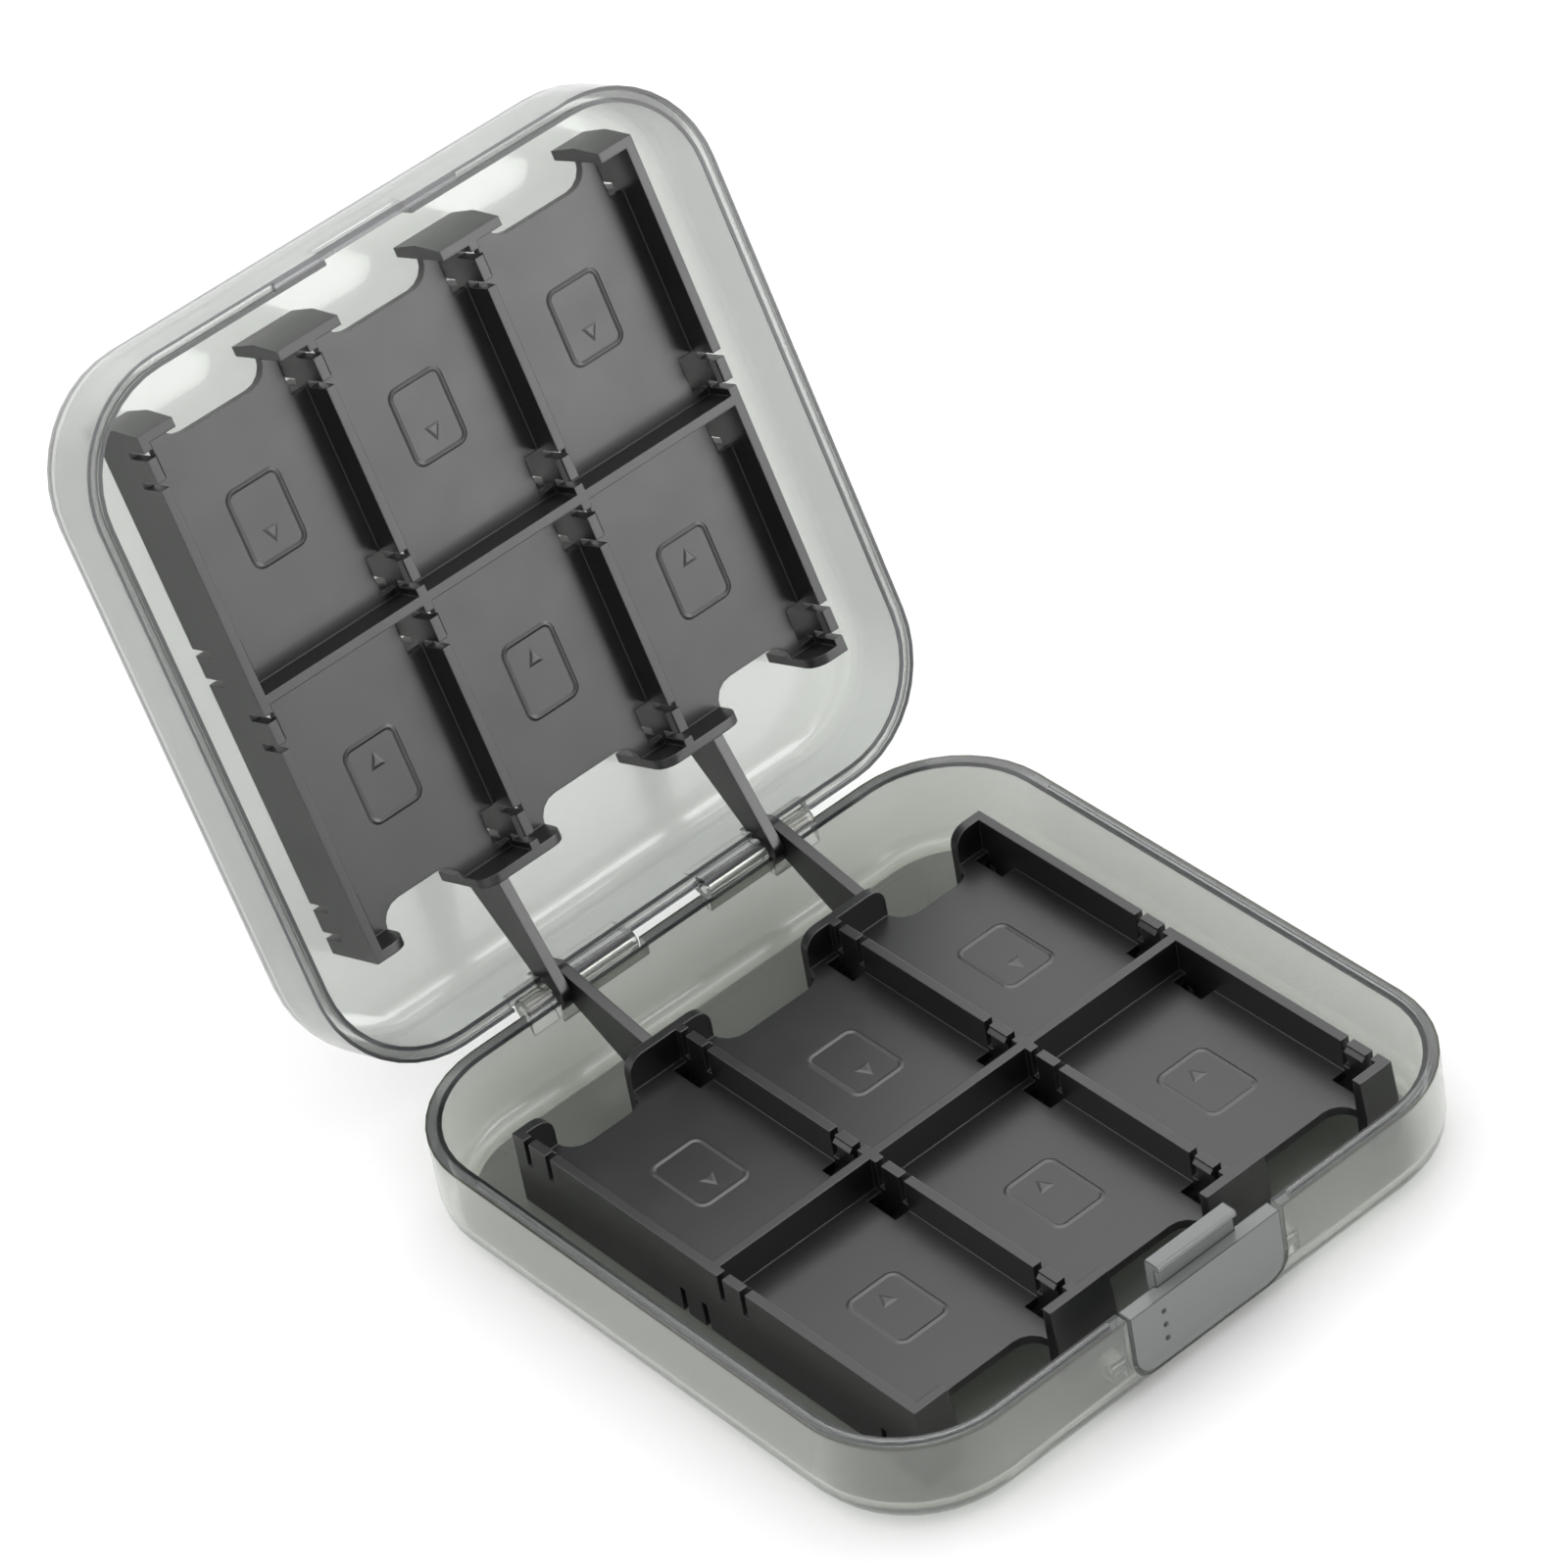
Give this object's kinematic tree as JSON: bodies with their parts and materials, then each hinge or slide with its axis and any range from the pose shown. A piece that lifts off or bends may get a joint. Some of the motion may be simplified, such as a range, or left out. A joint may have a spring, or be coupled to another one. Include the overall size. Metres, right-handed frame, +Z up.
{
  "type": "game card case",
  "caption": "Clear square case for small game cards, open like a book, with black card trays that turn on its hinge and a snap latch in front.",
  "frame": {"origin": "centre of the flat bottom of the base, on the surface the case stands on", "axes": "+X along the hinge, +Y from the latch to the hinge, +Z up; the lid stands open 111 degrees behind the base"},
  "size_m": [0.09, 0.1333, 0.0967],
  "materials": {
    "clear_shell": "clear plastic with a faint grey tint, polished",
    "clear_latch": "clear plastic with a faint grey tint, polished",
    "tray": "black plastic with a fine satin grain",
    "hinge_pin": "plain drawn steel wire"
  },
  "bodies": {
    "base": {"base_shell": "clear_shell", "hinge_pin_left": "hinge_pin", "hinge_pin_right": "hinge_pin"},
    "base_page": {"base_tray": "tray"},
    "lid_page": {"lid_tray": "tray"},
    "lid": {"lid_shell": "clear_shell"},
    "latch_panel": {"latch": "clear_latch"}
  },
  "joints": [
    {"name": "base_tray_page", "type": "hinge", "parent": "base", "child": "base_page", "pos_m": [0, 0.04545, 0.01235], "axis": [-1, 0, 0], "range_deg": [0, 34]},
    {"name": "case_opening", "type": "hinge", "parent": "base_page", "child": "lid_page", "pos_m": [0, 0.04545, 0.01235], "axis": [-1, 0, 0], "range_deg": [-111, 0]},
    {"name": "lid_tray_page", "type": "hinge", "parent": "lid_page", "child": "lid", "pos_m": [0, 0.04545, 0.01235], "axis": [-1, 0, 0], "range_deg": [0, 34]},
    {"name": "latch_rock", "type": "hinge", "parent": "base", "child": "latch_panel", "pos_m": [0, -0.0422, 0.0052], "axis": [-1, 0, 0], "range_deg": [0, 7], "stiffness_Nm_per_rad": 0.06}
  ]
}
